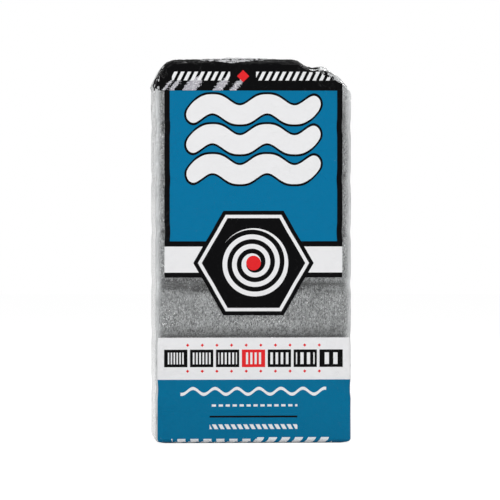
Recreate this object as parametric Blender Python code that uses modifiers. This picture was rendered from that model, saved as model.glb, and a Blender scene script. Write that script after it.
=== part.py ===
"""Sealed pack of steel wool pads: rolled pads in rows of two, wrapped in printed film.

Metres, +Z up. The pack stands on its folded bottom end, with its printed front towards -Y.
The origin is the middle of the base.
"""
import math

import bmesh
import bpy
from mathutils import Vector

# Rolled pads
PAD_ROWS = 7
PAD_LENGTH = 0.105
PAD_DEPTH = 0.0343
PAD_HEIGHT = 0.0283
PAD_WRAPS = 2
LAYER_GAP = 0.0005
ROLL_CORNER_RADIUS = 0.0068
ROLL_ARC_STEPS = 3
PAD_END_ROUNDING = 0.0018
TOP_ROW_SETTLE = 0.0026
TOP_ROW_SHORTER = 0.006
TOP_ROW_SHIFT = 0.0025

# Fit of the pads in the film
PAD_GAP = 0.0003
PAD_END_GAP = 0.00065

# Film and its folds
FILM_THICKNESS = 0.0002
FOLD_STEP = 0.0004
BOTTOM_EDGE_RADIUS = 0.0019
TOP_EDGE_RADIUS = 0.0019
CORNER_SEGMENTS = 2
EDGE_SEGMENTS = 2
FLAP_OVERLAP = 0.010
FLAP_RISE = 0.003
SEAM_WIDTH = 0.012
ROW_PINCH = 0.0009
ROW_PINCH_REACH = 0.006
COLUMN_SPACING = 0.012

# Loose film gathered over the top row
HEADROOM = 0.0056
GATHER_DEPTH = 0.0116
CREST_RISE = 0.005
CREST_BACK_FALL = 0.0015
CREST_LEFT_RAMP = 0.010
LEFT_DROP = 0.0045
LEFT_DROP_LENGTH = 0.006
CREST_FROM_RIGHT = 0.0215
CREST_RIGHT_RAMP = 0.010
SECOND_CREST_RISE = 0.0014
SECOND_CREST_FROM_RIGHT = 0.0165
SECOND_CREST_WIDTH = 0.0035
SHOULDER_DROP = 0.0055
SHOULDER_LENGTH = 0.0135
PLEAT_PITCH = 0.0090
PLEAT_LEAN = 0.45
PLEAT_HEIGHT = 0.0008

# Print on the front, stacked from the base
FOOT_MARGIN = 0.0038
FOOT_PANEL_HEIGHT = 0.0311
SCALE_PANEL_HEIGHT = 0.0229
WINDOW_HEIGHT = 0.0328
RULE_HEIGHT = 0.0027
WHITE_BAND_HEIGHT = 0.0142
FRAME_WIDTH = 0.0024
MAIN_PANEL_HEIGHT = 0.0827
PANEL_SIDE_MARGIN = 0.0045
PRINT_FIELDS = ("ink_blue", "ink_white", "film_clear", "ink_black", "ink_white", "ink_black", "ink_blue")

# Sizes that follow from those above
PAD_PITCH = PAD_HEIGHT + PAD_GAP
HALF_WIDTH = PAD_LENGTH / 2 + PAD_END_GAP + FILM_THICKNESS
HALF_DEPTH = PAD_DEPTH + 1.5 * PAD_GAP + FILM_THICKNESS
SIDE_CORNER_RADIUS = PAD_END_ROUNDING + PAD_GAP + FILM_THICKNESS
BASE_LEVEL = 2 * FOLD_STEP
PAD_BASE = BASE_LEVEL + FILM_THICKNESS + PAD_GAP
STACK_TOP = PAD_BASE + PAD_ROWS * PAD_PITCH - PAD_GAP - TOP_ROW_SETTLE
TOP_LEVEL = STACK_TOP + HEADROOM
NEAR = FILM_THICKNESS / 10


def smooth_step(start, end, value):
    """Rise from 0 at start to 1 at end."""
    share = min(max((value - start) / (end - start), 0.0), 1.0)
    return share * share * (3 - 2 * share)


def make_collection(name):
    collection = bpy.data.collections.new(name)
    bpy.context.scene.collection.children.link(collection)
    return collection


def make_material(name, colour, roughness, metallic, alpha=1.0):
    material = bpy.data.materials.new(name)
    material.use_nodes = True
    shader = material.node_tree.nodes["Principled BSDF"]
    shader.inputs["Base Color"].default_value = (*colour, 1.0)
    shader.inputs["Roughness"].default_value = roughness
    shader.inputs["Metallic"].default_value = metallic
    shader.inputs["Alpha"].default_value = alpha
    material.diffuse_color = (*colour, alpha)
    return material


def add_object(name, mesh, collection):
    thing = bpy.data.objects.new(name, mesh)
    collection.objects.link(thing)
    return thing


def half_turn(side, start_level, end_level, straight_half):
    """Points of one turn of the strip round the roll's end, squared off like a pressed roll."""
    half_height = abs(end_level - start_level) / 2
    middle = (start_level + end_level) / 2
    going_up = 1 if end_level > start_level else -1
    radius = min(half_height, ROLL_CORNER_RADIUS)
    reach = straight_half + half_height - radius
    points = []
    for step in range(ROLL_ARC_STEPS + 1):
        angle = math.pi / 2 * step / ROLL_ARC_STEPS
        depth = reach + radius * math.sin(angle)
        level = middle - going_up * (half_height - radius + radius * math.cos(angle))
        points.append((side * depth, level))
    for depth, level in reversed(points[:]):
        mirrored = (depth, 2 * middle - level)
        if math.dist(points[-1], mirrored) > LAYER_GAP:
            points.append(mirrored)
    return points


def roll_line(height, depth):
    """Middle line of the rolled strip, seen from its end, and the strip's thickness."""
    layer_pitch = (height + LAYER_GAP) / (2 * PAD_WRAPS + 1)
    thickness = layer_pitch - LAYER_GAP
    straight_half = (depth - thickness - (2 * PAD_WRAPS - 0.5) * layer_pitch) / 2
    inner_end = straight_half + layer_pitch - thickness / 2 - LAYER_GAP
    points = [(-inner_end, 0.0)]
    level = 0.0
    for wrap in range(1, PAD_WRAPS + 1):
        points += half_turn(1, level, wrap * layer_pitch, straight_half)
        points += half_turn(-1, wrap * layer_pitch, -wrap * layer_pitch, straight_half)
        level = -wrap * layer_pitch
    outer_end = straight_half + (PAD_WRAPS - 0.5) * layer_pitch
    points.append((outer_end, level))
    off_centre = layer_pitch / 4
    return [(depth + off_centre, level) for depth, level in points], thickness


def make_pad_mesh(name, height, length, material):
    """The roll's middle surface, as an open sheet, and the thickness it gets."""
    line, thickness = roll_line(height, PAD_DEPTH)
    sheet = bmesh.new()
    corners = [sheet.verts.new((-length / 2, depth, level)) for depth, level in line]
    edges = [sheet.edges.new(pair) for pair in zip(corners, corners[1:])]
    swept = bmesh.ops.extrude_edge_only(sheet, edges=edges)
    far_side = [item for item in swept["geom"] if isinstance(item, bmesh.types.BMVert)]
    bmesh.ops.translate(sheet, verts=far_side, vec=(length, 0, 0))
    bmesh.ops.recalc_face_normals(sheet, faces=sheet.faces)
    mesh = bpy.data.meshes.new(name)
    sheet.to_mesh(mesh)
    sheet.free()
    mesh.materials.append(material)
    return mesh, thickness


def add_pad(name, mesh, thickness, place, facing_back, collection):
    pad = add_object(name, mesh, collection)
    pad.location = place
    pad.rotation_euler.z = math.pi if facing_back else 0.0
    wall = pad.modifiers.new("strip_thickness", "SOLIDIFY")
    wall.thickness = thickness
    wall.offset = 0
    wall.use_even_offset = True
    rounding = pad.modifiers.new("soft_ends", "BEVEL")
    rounding.width = PAD_END_ROUNDING
    rounding.segments = 1
    rounding.limit_method = "ANGLE"
    rounding.angle_limit = math.radians(60)
    return pad


def add_pads(collection):
    material = make_material("steel_wool", (0.42, 0.43, 0.44), 0.5, 0.7)
    full = make_pad_mesh("pad", PAD_HEIGHT, PAD_LENGTH, material)
    top = make_pad_mesh("top_pad", PAD_HEIGHT - TOP_ROW_SETTLE, PAD_LENGTH - TOP_ROW_SHORTER, material)
    from_middle = (PAD_DEPTH + PAD_GAP) / 2
    for row in range(PAD_ROWS):
        in_top_row = row == PAD_ROWS - 1
        mesh, thickness = top if in_top_row else full
        height = PAD_HEIGHT - TOP_ROW_SETTLE if in_top_row else PAD_HEIGHT
        level = PAD_BASE + row * PAD_PITCH + height / 2
        shift = -TOP_ROW_SHIFT if in_top_row else 0.0
        for side, facing_back in (("front", False), ("back", True)):
            place = (shift, from_middle if facing_back else -from_middle, level)
            add_pad(f"pad_{side}_{row + 1}", mesh, thickness, place, facing_back, collection)


def block_with_rounded_edges():
    """The brick that the film is drawn round, with its corners and end edges rounded."""
    block = bmesh.new()
    bmesh.ops.create_cube(block, size=1.0)
    height = TOP_LEVEL - BASE_LEVEL
    bmesh.ops.scale(block, vec=(2 * HALF_WIDTH, 2 * HALF_DEPTH, height), verts=block.verts)
    bmesh.ops.translate(block, vec=(0, 0, BASE_LEVEL + height / 2), verts=block.verts)
    upright = [edge for edge in block.edges if abs(edge.verts[0].co.z - edge.verts[1].co.z) > NEAR]
    bmesh.ops.bevel(block, geom=upright, offset=SIDE_CORNER_RADIUS, segments=CORNER_SEGMENTS,
                    profile=0.5, affect="EDGES")
    for level, radius in ((BASE_LEVEL, BOTTOM_EDGE_RADIUS), (TOP_LEVEL, TOP_EDGE_RADIUS)):
        rim = [edge for edge in block.edges
               if all(abs(vert.co.z - level) < NEAR for vert in edge.verts)]
        bmesh.ops.bevel(block, geom=rim, offset=radius, segments=EDGE_SEGMENTS,
                        profile=0.5, affect="EDGES")
    return block


def cut_faces(film, faces, point, normal):
    """Add a line of edges where a plane crosses the given faces."""
    parts = set(faces)
    for face in faces:
        parts.update(face.edges)
        parts.update(face.verts)
    bmesh.ops.bisect_plane(film, geom=list(parts), dist=NEAR, plane_co=point, plane_no=normal)


def end_faces(film, end):
    return [face for face in film.faces if face.normal.z * end > 0.96]


def front_faces(film):
    return [face for face in film.faces if face.normal.y < -0.2 and abs(face.normal.z) < 0.1]


def back_faces(film):
    return [face for face in film.faces if face.normal.y > 0.99]


def print_levels():
    """Heights of the edges of the printed fields, from the base up."""
    levels = [FOOT_MARGIN]
    for height in (FOOT_PANEL_HEIGHT, SCALE_PANEL_HEIGHT, WINDOW_HEIGHT, RULE_HEIGHT,
                   WHITE_BAND_HEIGHT, FRAME_WIDTH, MAIN_PANEL_HEIGHT):
        levels.append(levels[-1] + height)
    return levels


def row_seams():
    """Heights at which one row of pads meets the next."""
    return [PAD_BASE + row * PAD_PITCH - PAD_GAP / 2 for row in range(1, PAD_ROWS)]


def cut_row_lines(film):
    """Rings of edges where the film bends in between two rows."""
    for seam in row_seams():
        for level in (seam - ROW_PINCH_REACH, seam, seam + ROW_PINCH_REACH):
            cut_faces(film, film.faces[:], (0, 0, level), (0, 0, 1))
    columns = int(HALF_WIDTH / COLUMN_SPACING) - 1
    for column in range(-columns, columns + 1):
        cut_faces(film, film.faces[:], (column * COLUMN_SPACING, 0, 0), (1, 0, 0))
    for column in range(-columns, columns + 2):
        gathered = [face for face in film.faces
                    if face.calc_center_median().z > TOP_LEVEL - TOP_EDGE_RADIUS]
        cut_faces(film, gathered, ((column - 0.5) * COLUMN_SPACING, 0, 0), (1, 0, 0))


def cut_fold_lines(film):
    """Edges along which the flaps of both ends and the back seam are folded."""
    for depth in (0.0, FLAP_OVERLAP):
        cut_faces(film, film.faces[:], (0, depth, 0), (0, 1, 0))
    for end, edge_radius in ((-1, BOTTOM_EDGE_RADIUS), (1, TOP_EDGE_RADIUS)):
        risen = HALF_DEPTH - edge_radius - FLAP_RISE
        for along in (-1, 1):
            cut_faces(film, end_faces(film, end), (0, along * risen, 0), (0, 1, 0))
    for end in (-1, 1):
        for along, reach in ((-1, FLAP_OVERLAP), (1, 0.0)):
            for across in (-1, 1):
                quarter = [face for face in end_faces(film, end)
                           if across * face.calc_center_median().x > 0
                           and -along * face.calc_center_median().y < reach]
                corner = (across * HALF_WIDTH, along * HALF_DEPTH, 0)
                cut_faces(film, quarter, corner, (across, -along, 0))
    for side in (-1, 1):
        cut_faces(film, back_faces(film), (side * SEAM_WIDTH / 2, 0, 0), (1, 0, 0))


def cut_pleat_lines(film):
    """Slanting edges round the pack, for the pleats of the gathered walls under the top edge."""
    start = TOP_LEVEL - GATHER_DEPTH
    for level in (start, start + GATHER_DEPTH / 2):
        cut_faces(film, film.faces[:], (0, 0, level), (0, 0, 1))
    spacing = PLEAT_PITCH / 2
    lines = int((HALF_WIDTH + HALF_DEPTH + PLEAT_LEAN * GATHER_DEPTH) / spacing)
    for line in range(-lines, lines + 1):
        gathered = [face for face in film.faces
                    if start < face.calc_center_median().z < TOP_LEVEL - TOP_EDGE_RADIUS]
        cut_faces(film, gathered, (line * spacing, 0, TOP_LEVEL), (1, 1, -PLEAT_LEAN))


def cut_print_lines(film):
    for level in print_levels():
        cut_faces(film, front_faces(film), (0, 0, level), (0, 0, 1))
    panel_half = HALF_WIDTH - PANEL_SIDE_MARGIN
    for side in (-1, 1):
        for margin in (0, FRAME_WIDTH):
            cut_faces(film, front_faces(film), (side * (panel_half - margin), 0, 0), (1, 0, 0))


def ink_at(face, slots):
    """The printed field that a face of the front lies in."""
    place = face.calc_center_median()
    levels = print_levels()
    panel_half = HALF_WIDTH - PANEL_SIDE_MARGIN
    turned_over_top = place.z > TOP_LEVEL - TOP_EDGE_RADIUS and place.y < -FLAP_OVERLAP
    if place.z < levels[0] or face.normal.y > -0.2 and not turned_over_top:
        return slots.index("film_clear")
    in_lower_fields = place.z < levels[2]
    if abs(place.x) > (HALF_WIDTH - SIDE_CORNER_RADIUS / 2 if in_lower_fields else panel_half):
        return slots.index("film_clear")
    for top, ink in zip(levels[1:], PRINT_FIELDS):
        if place.z < top:
            on_frame = top == levels[-1] and abs(place.x) > panel_half - FRAME_WIDTH
            return slots.index("ink_black" if on_frame else ink)
    return slots.index("ink_black")


def lift_layer(film, faces, lift, stays_joined):
    """Lift a layer of film off the layer under it, joined to it along its folded edges."""
    lifted = bmesh.ops.extrude_face_region(film, geom=faces)
    moved = [item for item in lifted["geom"] if isinstance(item, bmesh.types.BMVert)]
    bmesh.ops.translate(film, verts=moved, vec=lift)
    leftover = [face for face in faces if face.is_valid]
    bmesh.ops.delete(film, geom=leftover, context="FACES")
    joined = {}
    for vert in moved:
        if not stays_joined(vert.co):
            continue
        for edge in vert.link_edges:
            below = edge.other_vert(vert)
            if (vert.co - below.co - Vector(lift)).length < NEAR:
                joined[vert] = below
    bmesh.ops.weld_verts(film, targetmap=joined)


def flap_faces(film, end, from_side, free_edge):
    """Faces of an end that a flap from the front (-1) or the back (1) covers."""
    covered = []
    for face in end_faces(film, end):
        place = face.calc_center_median()
        from_fold = HALF_DEPTH - from_side * place.y
        if abs(place.x) < HALF_WIDTH - from_fold and from_fold < HALF_DEPTH + free_edge:
            covered.append(face)
    return covered


def fold_end(film, end):
    """Side tucks lie lowest, the back flap over them and the front flap over both."""
    lift = (0, 0, end * FOLD_STEP)
    edge_radius = TOP_EDGE_RADIUS if end > 0 else BOTTOM_EDGE_RADIUS
    fold_line = HALF_DEPTH - edge_radius - NEAR
    crease_start = HALF_WIDTH - edge_radius - FLAP_RISE - NEAR
    both = set(flap_faces(film, end, -1, 0)) | set(flap_faces(film, end, 1, 0))
    both |= set(flap_faces(film, end, -1, FLAP_OVERLAP))
    lift_layer(film, list(both), lift,
               lambda place: abs(place.y) > fold_line or abs(place.x) > crease_start)
    lift_layer(film, flap_faces(film, end, -1, FLAP_OVERLAP), lift,
               lambda place: place.y < -fold_line or abs(place.x) > crease_start)
    free_edge = [face for face in film.faces
                 if face.normal.y > 0.99 and abs(face.calc_center_median().y - FLAP_OVERLAP) < NEAR]
    bmesh.ops.delete(film, geom=free_edge, context="FACES")


def fold_back_seam(film):
    """One side edge of the sheet laps over the other down the back."""
    half = SEAM_WIDTH / 2
    strip = [face for face in back_faces(film) if abs(face.calc_center_median().x) < half]
    levels = [vert.co.z for face in strip for vert in face.verts]
    low, high = min(levels), max(levels)
    lift_layer(film, strip, (0, FOLD_STEP, 0),
               lambda place: place.x < -half + NEAR or place.z < low + NEAR or place.z > high - NEAR)


def crest(x, y):
    """How far the gathered film stands above or below its level on top."""
    from_left = x + HALF_WIDTH
    right = HALF_WIDTH - CREST_FROM_RIGHT
    rise = CREST_RISE * smooth_step(0, CREST_LEFT_RAMP, from_left)
    rise -= LEFT_DROP * max(0.0, 1 - from_left / LEFT_DROP_LENGTH) ** 2
    rise *= 1 - smooth_step(right - CREST_RIGHT_RAMP, right, x)
    from_second = (x - HALF_WIDTH + SECOND_CREST_FROM_RIGHT) / SECOND_CREST_WIDTH
    rise += SECOND_CREST_RISE * math.exp(-from_second ** 2)
    rise -= CREST_BACK_FALL * (y / HALF_DEPTH) ** 2
    return rise - SHOULDER_DROP * smooth_step(HALF_WIDTH - SHOULDER_LENGTH, HALF_WIDTH, x)


def pleat(x, y, z):
    """How far the gathered walls stand out, in pleats that lean along the pack."""
    from_middle = x + min(max(y, -HALF_DEPTH), HALF_DEPTH) - PLEAT_LEAN * (z - TOP_LEVEL)
    ridge = abs(2 * (from_middle / PLEAT_PITCH % 1) - 1)
    middle = TOP_LEVEL - GATHER_DEPTH / 2
    fade = smooth_step(TOP_LEVEL - GATHER_DEPTH, middle, z) - smooth_step(middle, TOP_LEVEL, z)
    return PLEAT_HEIGHT * ridge * fade


def outward(x, y):
    """The level direction in which the wall faces at a place, also round the corners."""
    inner_width = HALF_WIDTH - SIDE_CORNER_RADIUS
    inner_depth = HALF_DEPTH - SIDE_CORNER_RADIUS
    off_width = x - min(max(x, -inner_width), inner_width)
    off_depth = y - min(max(y, -inner_depth), inner_depth)
    return Vector((off_width, off_depth, 0)).normalized()


def draw_film_in(film):
    """Pull the film in between the rows and gather it under and over the top edge."""
    side_pinch = PAD_END_GAP - PAD_GAP
    seams = row_seams()
    for vert in film.verts:
        x, y, z = vert.co
        from_seam = min(abs(z - seam) for seam in seams)
        pinch = 1 - smooth_step(0, ROW_PINCH_REACH, from_seam)
        vert.co.x -= x / HALF_WIDTH * side_pinch * pinch
        vert.co.y -= y / HALF_DEPTH * ROW_PINCH * pinch
        vert.co.z += crest(x, y) * smooth_step(TOP_LEVEL - GATHER_DEPTH, TOP_LEVEL, z)
        vert.co += pleat(x, y, z) * outward(x, y)


def add_film(collection):
    materials = [
        make_material("film_clear", (0.86, 0.88, 0.89), 0.12, 0.0, 0.35),
        make_material("ink_black", (0.012, 0.012, 0.014), 0.3, 0.0),
        make_material("ink_blue", (0.004, 0.17, 0.32), 0.3, 0.0),
        make_material("ink_white", (0.8, 0.81, 0.82), 0.3, 0.0),
    ]
    slots = [material.name for material in materials]
    film = block_with_rounded_edges()
    cut_row_lines(film)
    cut_fold_lines(film)
    cut_print_lines(film)
    cut_pleat_lines(film)
    bmesh.ops.remove_doubles(film, verts=film.verts, dist=NEAR)
    for face in film.faces:
        face.material_index = ink_at(face, slots)
    for end in (-1, 1):
        fold_end(film, end)
    fold_back_seam(film)
    draw_film_in(film)
    bmesh.ops.triangulate(film, faces=film.faces[:])
    mesh = bpy.data.meshes.new("film")
    film.to_mesh(mesh)
    film.free()
    for material in materials:
        mesh.materials.append(material)
    mesh.shade_smooth()
    mesh.set_sharp_from_angle(angle=math.radians(40))
    wrap = add_object("film", mesh, collection)
    wall = wrap.modifiers.new("film_thickness", "SOLIDIFY")
    wall.thickness = FILM_THICKNESS
    wall.offset = -1


def main():
    for thing in list(bpy.data.objects):
        bpy.data.objects.remove(thing)
    pack = make_collection("steel_wool_pack")
    add_pads(pack)
    add_film(pack)


main()
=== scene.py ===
import math

import bmesh
import bpy
import numpy as np
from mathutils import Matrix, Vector, noise


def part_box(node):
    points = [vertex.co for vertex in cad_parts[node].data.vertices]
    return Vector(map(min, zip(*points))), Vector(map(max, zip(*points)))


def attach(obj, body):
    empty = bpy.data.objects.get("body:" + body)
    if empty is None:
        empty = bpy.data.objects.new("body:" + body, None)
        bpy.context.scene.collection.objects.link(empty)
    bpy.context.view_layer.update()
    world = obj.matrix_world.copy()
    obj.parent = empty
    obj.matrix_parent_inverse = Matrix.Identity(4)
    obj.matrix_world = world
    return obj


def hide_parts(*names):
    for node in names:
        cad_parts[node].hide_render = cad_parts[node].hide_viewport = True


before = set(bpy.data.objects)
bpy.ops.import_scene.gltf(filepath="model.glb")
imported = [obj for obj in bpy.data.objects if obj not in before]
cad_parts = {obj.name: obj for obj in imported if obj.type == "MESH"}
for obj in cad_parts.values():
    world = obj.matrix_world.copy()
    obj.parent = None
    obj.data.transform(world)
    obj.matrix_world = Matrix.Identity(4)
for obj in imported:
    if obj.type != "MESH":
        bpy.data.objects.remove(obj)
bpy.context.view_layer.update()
bpy.ops.object.select_all(action="DESELECT")


# Steel wool
# Fine steel fibres, combed one way and matted together. They run along the strip that a pad is
# rolled from, so they lie round the roll on its faces and follow its turns on its ends. FIBRE_SIZES
# gives how often each kind of streak repeats in a metre along and across the strip, and its share.
STRIP_ATTRIBUTE = "strip_place"
# Painted shade in the gaps between rows, or painted light beside them, and each strand's random tone.
CREVICE_ATTRIBUTE = "crevice"
WOOL_DARK = (0.030, 0.032, 0.034, 1.0)
WOOL_MIDDLE = (0.330, 0.342, 0.345, 1.0)
WOOL_BRIGHT = (0.860, 0.880, 0.885, 1.0)
DARK_LEVEL = 0.407
MIDDLE_LEVEL = 0.494
BRIGHT_LEVEL = 0.590
FIBRE_SIZES = ((950.0, 1500.0, 0.52), (1900.0, 2700.0, 0.28), (190.0, 330.0, 0.13), (45.0, 60.0, 0.07))
FIBRE_TWIST = 0.7
FIBRE_RELIEF = 0.0006
# Painted shade in patches at the gaps between rows, and painted light beside them where the stored value is
# below zero.
SHADE_PATCH_SCALE = 420.0
SHADE_PATCH_CONTRAST = 8.0
SHADE_PATCH_START = 3.7
CREVICE_PATCHY_PAINTED_SHADE = 0.50
CREVICE_EVEN_PAINTED_SHADE = 0.04


class Signal:
    """A value or vector on its way through a material's nodes, for writing sums of them plainly."""

    def __init__(self, tree, socket):
        self.tree = tree
        self.socket = socket

    def calc(self, operation, *others):
        node = self.tree.nodes.new("ShaderNodeMath")
        node.operation = operation
        for socket, other in zip(node.inputs, (self, *others)):
            if isinstance(other, Signal):
                self.tree.links.new(other.socket, socket)
            else:
                socket.default_value = other
        return Signal(self.tree, node.outputs[0])

    def __add__(self, other):
        return self.calc("ADD", other)

    def __sub__(self, other):
        return self.calc("SUBTRACT", other)

    def __mul__(self, other):
        return self.calc("MULTIPLY", other)

    def __truediv__(self, other):
        return self.calc("DIVIDE", other)

    def above(self, other):
        return self.calc("GREATER_THAN", other)

    def below(self, other):
        return self.calc("LESS_THAN", other)

    def between(self, low, high):
        return self.above(low) * self.below(high)

    def clamped(self):
        return self.calc("MAXIMUM", 0.0).calc("MINIMUM", 1.0)


def new_material(name):
    """A material with an empty node tree and its output node."""
    material = bpy.data.materials.new(name)
    material.use_nodes = True
    tree = material.node_tree
    tree.nodes.clear()
    return material, tree, tree.nodes.new("ShaderNodeOutputMaterial")


def attribute_place(tree, name):
    """The three numbers of a surface attribute, each as a signal."""
    attribute = tree.nodes.new("ShaderNodeAttribute")
    attribute.attribute_name = name
    parts = tree.nodes.new("ShaderNodeSeparateXYZ")
    tree.links.new(attribute.outputs["Vector"], parts.inputs[0])
    return [Signal(tree, parts.outputs[axis]) for axis in range(3)]


def joined_vector(tree, *parts):
    """Up to three signals as one vector."""
    combine = tree.nodes.new("ShaderNodeCombineXYZ")
    for socket, part in zip(combine.inputs, parts):
        tree.links.new(part.socket, socket)
    return combine.outputs[0]


def noise_signal(tree, vector, scale, detail, distortion=0.0, roughness=0.5):
    texture = tree.nodes.new("ShaderNodeTexNoise")
    tree.links.new(vector, texture.inputs["Vector"])
    texture.inputs["Scale"].default_value = scale
    texture.inputs["Detail"].default_value = detail
    texture.inputs["Roughness"].default_value = roughness
    texture.inputs["Distortion"].default_value = distortion
    return Signal(tree, texture.outputs["Fac"])


def steel_wool_material():
    """Grey steel, with its tone, gloss and relief from streaks of fibre, and with painted shade at the gaps
    between rows and painted light beside them.
    """
    material, tree, output = new_material("steel_wool")
    along, across, deep = attribute_place(tree, STRIP_ATTRIBUTE)
    fibres = None
    for along_scale, across_scale, share in FIBRE_SIZES:
        place = joined_vector(tree, along * along_scale, across * across_scale, deep * across_scale)
        layer = noise_signal(tree, place, 1.0, 2.0, distortion=FIBRE_TWIST, roughness=0.6) * share
        fibres = layer if fibres is None else fibres + layer
    # Painted shade at the gaps between rows, and painted light beside them.
    crevice, tone, _ = attribute_place(tree, CREVICE_ATTRIBUTE)
    place = joined_vector(tree, along * SHADE_PATCH_SCALE, across * SHADE_PATCH_SCALE, deep * SHADE_PATCH_SCALE)
    shade_patches = (noise_signal(tree, place, 1.0, 2.0) * SHADE_PATCH_CONTRAST - SHADE_PATCH_START).clamped()
    level = fibres + tone - crevice * (shade_patches * CREVICE_PATCHY_PAINTED_SHADE + CREVICE_EVEN_PAINTED_SHADE)
    tones = tree.nodes.new("ShaderNodeValToRGB")
    tree.links.new(level.socket, tones.inputs[0])
    for stop, place, colour in ((0, DARK_LEVEL, WOOL_DARK), (1, BRIGHT_LEVEL, WOOL_BRIGHT)):
        tones.color_ramp.elements[stop].position = place
        tones.color_ramp.elements[stop].color = colour
    tones.color_ramp.elements.new(MIDDLE_LEVEL).color = WOOL_MIDDLE
    bump = tree.nodes.new("ShaderNodeBump")
    bump.inputs["Strength"].default_value = 0.8
    bump.inputs["Distance"].default_value = FIBRE_RELIEF
    tree.links.new(fibres.socket, bump.inputs["Height"])
    shader = tree.nodes.new("ShaderNodeBsdfPrincipled")
    shader.inputs["Metallic"].default_value = 0.55
    roughness = fibres * 0.5 + 0.22
    tree.links.new(tones.outputs[0], shader.inputs["Base Color"])
    tree.links.new(roughness.socket, shader.inputs["Roughness"])
    tree.links.new(bump.outputs[0], shader.inputs["Normal"])
    tree.links.new(shader.outputs[0], output.inputs["Surface"])
    return material


wool = steel_wool_material()


# Rolled pads
# A pad is one strip of wool rolled flat on itself two and a half turns and pressed square, so that its
# ends show the turns. Seven lie against the front and seven behind, each with its smooth side out.
# Painted shade darkens the gaps between the rows in patches, and painted light brightens the wool beside
# them; one number for each gap says how dark its painted shade is, bottom to top.
PAD_ROWS = 7
PAD_WRAPS = 2
LAYER_GAP = 0.0006
ROLL_CORNER_RADIUS = 0.0052
ROLL_ARC_STEPS = 5
FUZZ_DEPTH = 0.00040
STRIP_COLUMNS = 30
STRIP_STEP = 0.0024
STRIP_EDGE_ROUNDING = 0.0011
HEADING_STEP = 0.0006
LUMP_SIZE = 0.011
LUMP_DEPTH = 0.00045
DENT_SIZE = 1.4 * LUMP_SIZE
DENT_DEPTH = 0.0024
DENTED_EDGE = 0.6
FRAY_DEPTH = 0.0011
FRAY_ALONG = 220.0
FRAY_OFF = 500.0
# Painted shade in the gaps between rows, in patches, and painted light on the wool beside them.
CREVICE_PATCH = 0.0065
CREVICE_EDGE = (0.82, 0.90)
PAINTED_LIGHT_EDGE = (0.45, 0.92)
FACE_EDGE = (0.55, 0.80)
SEAM_PAINTED_SHADES = (1.0, 0.0, 1.4, 1.0, 1.0, 1.0)
GAP_PAINTED_LIGHT = 0.22


def half_turn(side, start_level, end_level, straight_half):
    """Points of half a turn of the strip, round one side of the roll, squared off as a pressed roll is."""
    half_height = abs(end_level - start_level) / 2
    middle = (start_level + end_level) / 2
    going_up = 1 if end_level > start_level else -1
    radius = min(half_height, ROLL_CORNER_RADIUS)
    reach = straight_half + half_height - radius
    points = []
    for step in range(ROLL_ARC_STEPS + 1):
        angle = math.pi / 2 * step / ROLL_ARC_STEPS
        level = middle - going_up * (half_height - radius + radius * math.cos(angle))
        points.append((side * (reach + radius * math.sin(angle)), level))
    for depth, level in reversed(points[:]):
        mirrored = (depth, 2 * middle - level)
        if math.dist(points[-1], mirrored) > LAYER_GAP:
            points.append(mirrored)
    return points


def roll_line(height, depth):
    """Middle line of the rolled strip, seen from its end, and the strip's thickness."""
    layer_pitch = (height + LAYER_GAP) / (2 * PAD_WRAPS + 1)
    thickness = layer_pitch - LAYER_GAP
    straight_half = (depth - thickness - (2 * PAD_WRAPS - 0.5) * layer_pitch) / 2
    inner_end = straight_half + layer_pitch - thickness / 2 - LAYER_GAP
    points = [(-inner_end, 0.0)]
    level = 0.0
    for wrap in range(1, PAD_WRAPS + 1):
        points += half_turn(1, level, wrap * layer_pitch, straight_half)
        points += half_turn(-1, wrap * layer_pitch, -wrap * layer_pitch, straight_half)
        level = -wrap * layer_pitch
    points.append((straight_half + (PAD_WRAPS - 0.5) * layer_pitch, level))
    off_centre = layer_pitch / 4
    line = [(deep + off_centre, level) for deep, level in points]
    fine_line = [line[0]]
    for here, there in zip(line, line[1:]):
        parts = math.ceil(math.dist(here, there) / STRIP_STEP)
        for part in range(1, parts + 1):
            share = part / parts
            fine_line.append([a + (b - a) * share for a, b in zip(here, there)])
    return fine_line, thickness


class Roll:
    """Where a place on the rolled strip lies: along its line, across it and off its middle."""

    def __init__(self, length, depth, height):
        line, self.thickness = roll_line(height, depth)
        self.line = np.array(line)
        self.length = length
        steps = np.linalg.norm(np.diff(self.line, axis=0), axis=1)
        self.along = np.concatenate([[0.0], np.cumsum(steps)])
        self.total = self.along[-1]

    def place(self, along, across, off):
        """World places for numbers along, across and off the strip."""
        here = self.point(along)
        heading = self.point(along + HEADING_STEP) - self.point(along - HEADING_STEP)
        heading /= np.linalg.norm(heading, axis=1)[:, None]
        outward = np.stack([heading[:, 1], -heading[:, 0]], axis=1)
        spot = here + outward * off[:, None]
        return np.stack([across, spot[:, 0], spot[:, 1]], axis=1)

    def point(self, along):
        return np.stack([np.interp(along, self.along, self.line[:, axis]) for axis in (0, 1)], axis=1)


def select_only(thing, kind, test):
    """In edit mode, select the vertices, edges or faces that pass a test, and nothing else."""
    bpy.ops.mesh.select_mode(type=kind)
    bpy.ops.mesh.select_all(action="DESELECT")
    mesh = bmesh.from_edit_mesh(thing.data)
    items = {"VERT": mesh.verts, "EDGE": mesh.edges, "FACE": mesh.faces}[kind]
    for item in items:
        if test(item):
            item.select_set(True)
    mesh.select_flush_mode()
    bmesh.update_edit_mesh(thing.data)


def finish_modifier(thing, name, kind, **settings):
    """Add a modifier, set it and apply it."""
    modifier = thing.modifiers.new(name, kind)
    for setting, value in settings.items():
        setattr(modifier, setting, value)
    bpy.ops.object.modifier_apply(modifier=modifier.name)


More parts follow.
